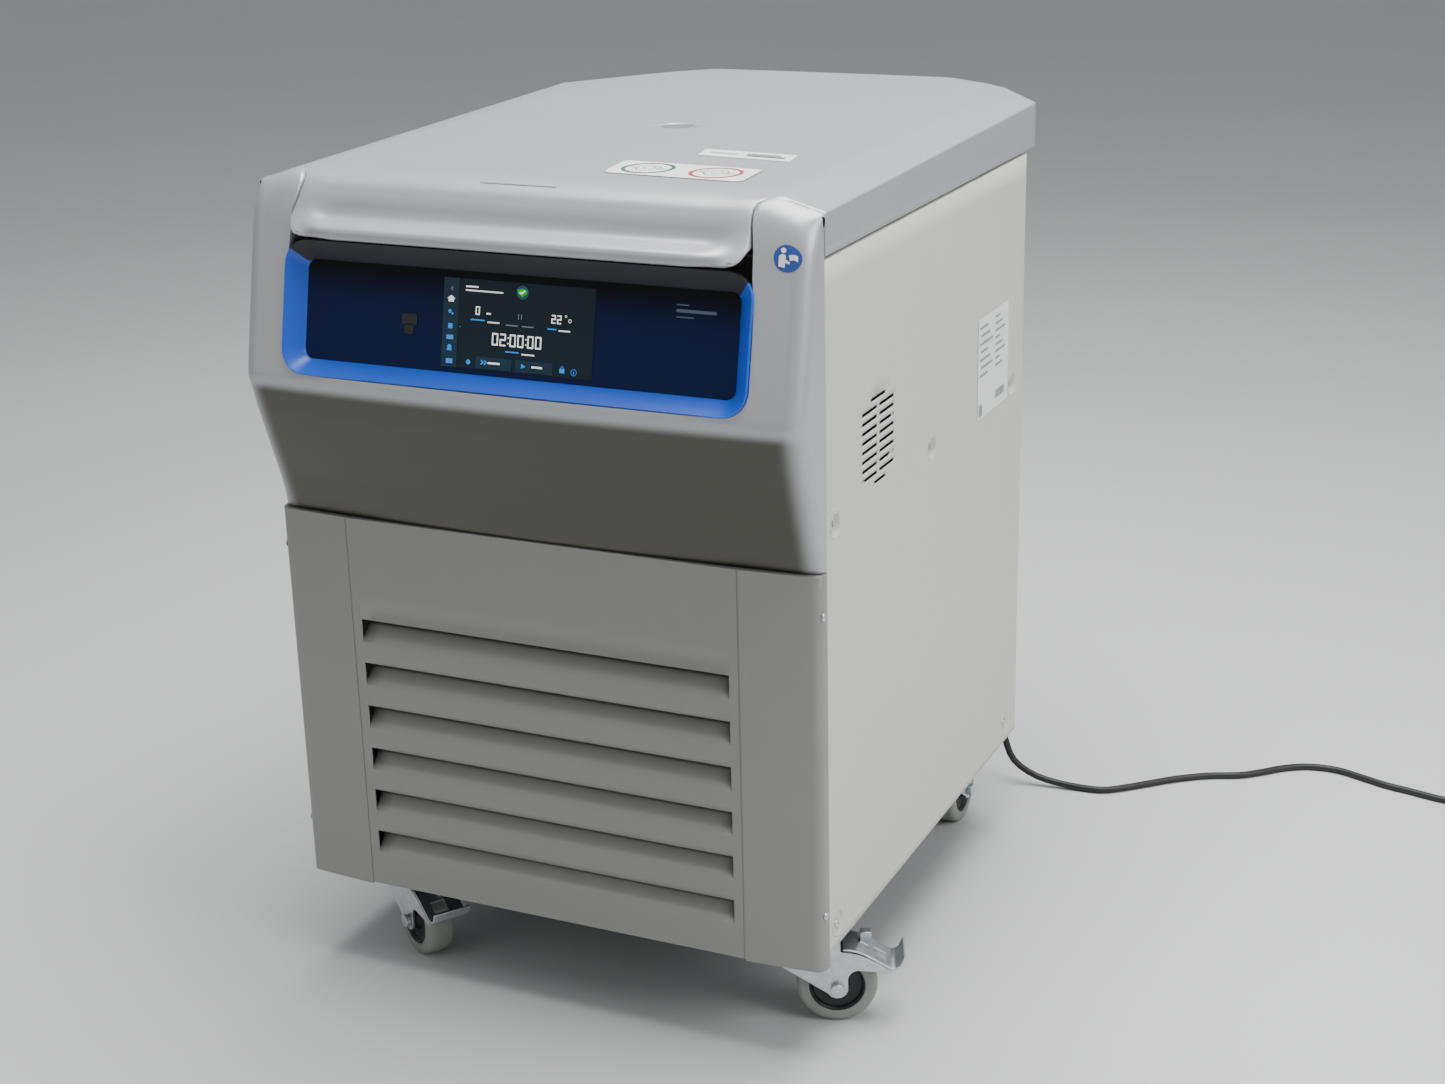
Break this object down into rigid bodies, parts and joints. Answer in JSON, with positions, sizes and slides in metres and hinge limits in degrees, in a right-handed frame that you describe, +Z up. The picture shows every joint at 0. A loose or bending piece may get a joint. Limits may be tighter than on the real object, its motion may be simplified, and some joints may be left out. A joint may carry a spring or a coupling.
{
  "type": "laboratory centrifuge",
  "caption": "Floor-standing refrigerated centrifuge: a caster-mounted cabinet with a touchscreen console, hinged lid, swing-bucket rotor and mains lead.",
  "frame": {"origin": "on the floor under the middle of the machine's outline, its casters and pedals included and its mains lead left out", "axes": "+Z up, -Y towards the front with the touchscreen, +X to the right of someone who looks along +Y at the front"},
  "size_m": [1.1945, 0.8938, 0.831],
  "materials": {
    "satin_grey_paint": "satin silver-grey powder paint with fine metallic grain",
    "cream_paint": "fine-textured off-white powder paint",
    "silver_plastic": "satin silver-grey moulded plastic with a fine metallic fleck",
    "blue_plastic": "smooth royal-blue moulding with a soft gloss",
    "screen_glass": "glossy dark navy cover glass over a lit colour touchscreen",
    "clear_port": "clear acrylic plug, polished faces",
    "chamber_steel": "brushed stainless steel",
    "seal_rubber": "matt black sealing rubber",
    "motor_iron": "black enamelled castings",
    "rotor_aluminium": "machined and anodised aluminium",
    "black_plastic": "matt black moulding",
    "cord_rubber": "black rubber-sheathed lead",
    "zinc_steel": "bright zinc-plated pressed steel",
    "tyre_rubber": "grey non-marking rubber with a satin wear band",
    "hub_plastic": "matt black nylon hub"
  },
  "bodies": {
    "machine": {"front_panel": "satin_grey_paint", "base_frame": "satin_grey_paint", "rear_panel": "satin_grey_paint", "rear_hood": "satin_grey_paint", "left_side_panel": "cream_paint", "right_side_panel": "cream_paint", "console_housing": "silver_plastic", "top_deck": "silver_plastic", "console_bezel": "blue_plastic", "display_glass": "screen_glass", "chamber_bowl": "chamber_steel", "hinge_bracket_left": "chamber_steel", "hinge_bracket_right": "chamber_steel", "chamber_gasket": "seal_rubber", "drive_motor": "motor_iron", "compressor": "motor_iron", "condenser": "rotor_aluminium", "power_module": "rotor_aluminium", "fan_shroud": "black_plastic", "cord_gland": "black_plastic", "mains_plug": "black_plastic", "cord_run": "cord_rubber", "cord_coil": "cord_rubber", "caster_front_left_plate": "zinc_steel", "caster_front_right_plate": "zinc_steel", "caster_rear_left_plate": "zinc_steel", "caster_rear_right_plate": "zinc_steel"},
    "lid": {"lid_shell": "silver_plastic", "lid_liner": "silver_plastic", "hinge_shaft": "chamber_steel", "sight_port": "clear_port", "lid_striker": "chamber_steel"},
    "latch": {"latch_hook": "chamber_steel"},
    "rotor": {"drive_spindle": "chamber_steel", "rotor_body": "rotor_aluminium", "rotor_knob": "black_plastic"},
    "fan": {"condenser_fan": "black_plastic"},
    "switch": {"mains_switch": "black_plastic"},
    "bucket_1": {"bucket_1": "rotor_aluminium"},
    "bucket_2": {"bucket_2": "rotor_aluminium"},
    "bucket_3": {"bucket_3": "rotor_aluminium"},
    "bucket_4": {"bucket_4": "rotor_aluminium"},
    "front_left_swivel": {"caster_front_left_fork": "zinc_steel", "caster_front_left_axle": "zinc_steel"},
    "front_left_wheel": {"caster_front_left_tyre": "tyre_rubber", "caster_front_left_hub": "hub_plastic"},
    "front_left_brake": {"caster_front_left_brake": "zinc_steel"},
    "front_right_swivel": {"caster_front_right_fork": "zinc_steel", "caster_front_right_axle": "zinc_steel"},
    "front_right_wheel": {"caster_front_right_tyre": "tyre_rubber", "caster_front_right_hub": "hub_plastic"},
    "front_right_brake": {"caster_front_right_brake": "zinc_steel"},
    "rear_left_swivel": {"caster_rear_left_fork": "zinc_steel", "caster_rear_left_axle": "zinc_steel"},
    "rear_left_wheel": {"caster_rear_left_tyre": "tyre_rubber", "caster_rear_left_hub": "hub_plastic"},
    "rear_right_swivel": {"caster_rear_right_fork": "zinc_steel", "caster_rear_right_axle": "zinc_steel"},
    "rear_right_wheel": {"caster_rear_right_tyre": "tyre_rubber", "caster_rear_right_hub": "hub_plastic"}
  },
  "joints": [
    {"name": "lid_hinge", "type": "hinge", "parent": "machine", "child": "lid", "pos_m": [-0.02284, 0.3635, 0.797], "axis": [-1, 0, 0], "range_deg": [0, 70]},
    {"name": "latch_swing", "type": "hinge", "parent": "machine", "child": "latch", "pos_m": [-0.02284, -0.2965, 0.735], "axis": [1, 0, 0], "range_deg": [0, 25]},
    {"name": "rotor_spin", "type": "hinge", "parent": "machine", "child": "rotor", "pos_m": [-0.02284, -0.0185, 0.59], "axis": [0, 0, 1], "continuous": true},
    {"name": "bucket_1_swing", "type": "hinge", "parent": "rotor", "child": "bucket_1", "pos_m": [0.08916, -0.0185, 0.598], "axis": [0, -1, 0], "range_deg": [0, 90]},
    {"name": "bucket_2_swing", "type": "hinge", "parent": "rotor", "child": "bucket_2", "pos_m": [-0.02284, 0.0935, 0.598], "axis": [1, 0, 0], "range_deg": [0, 90]},
    {"name": "bucket_3_swing", "type": "hinge", "parent": "rotor", "child": "bucket_3", "pos_m": [-0.13484, -0.0185, 0.598], "axis": [0, 1, 0], "range_deg": [0, 90]},
    {"name": "bucket_4_swing", "type": "hinge", "parent": "rotor", "child": "bucket_4", "pos_m": [-0.02284, -0.1305, 0.598], "axis": [-1, 0, 0], "range_deg": [0, 90]},
    {"name": "fan_spin", "type": "hinge", "parent": "machine", "child": "fan", "pos_m": [-0.02284, -0.2565, 0.25605], "axis": [0, 1, 0], "continuous": true},
    {"name": "mains_rocker", "type": "hinge", "parent": "machine", "child": "switch", "pos_m": [0.21216, 0.2387, 0.23], "axis": [-1, 0, 0], "range_deg": [0, 14]},
    {"name": "front_left_swivel", "type": "hinge", "parent": "machine", "child": "front_left_swivel", "pos_m": [-0.24484, -0.2705, 0.098], "axis": [0, 0, 1], "continuous": true},
    {"name": "front_left_roll", "type": "hinge", "parent": "front_left_swivel", "child": "front_left_wheel", "pos_m": [-0.20794, -0.29446, 0.04], "axis": [0.5446, 0.8387, 0], "continuous": true},
    {"name": "front_left_brake", "type": "hinge", "parent": "front_left_swivel", "child": "front_left_brake", "pos_m": [-0.20123, -0.29882, 0.083], "axis": [-0.5446, -0.8387, 0], "range_deg": [0, 12]},
    {"name": "front_right_swivel", "type": "hinge", "parent": "machine", "child": "front_right_swivel", "pos_m": [0.19916, -0.2705, 0.098], "axis": [0, 0, 1], "continuous": true},
    {"name": "front_right_roll", "type": "hinge", "parent": "front_right_swivel", "child": "front_right_wheel", "pos_m": [0.23966, -0.25331, 0.04], "axis": [-0.3907, 0.9205, 0], "continuous": true},
    {"name": "front_right_brake", "type": "hinge", "parent": "front_right_swivel", "child": "front_right_brake", "pos_m": [0.24702, -0.25018, 0.083], "axis": [0.3907, -0.9205, 0], "range_deg": [0, 12]},
    {"name": "rear_left_swivel", "type": "hinge", "parent": "machine", "child": "rear_left_swivel", "pos_m": [-0.24484, 0.1635, 0.098], "axis": [0, 0, 1], "continuous": true},
    {"name": "rear_left_roll", "type": "hinge", "parent": "rear_left_swivel", "child": "rear_left_wheel", "pos_m": [-0.23345, 0.206, 0.04], "axis": [-0.9659, 0.2588, 0], "continuous": true},
    {"name": "rear_right_swivel", "type": "hinge", "parent": "machine", "child": "rear_right_swivel", "pos_m": [0.19916, 0.1635, 0.098], "axis": [0, 0, 1], "continuous": true},
    {"name": "rear_right_roll", "type": "hinge", "parent": "rear_right_swivel", "child": "rear_right_wheel", "pos_m": [0.19916, 0.2075, 0.04], "axis": [-1, 0, 0], "continuous": true}
  ]
}
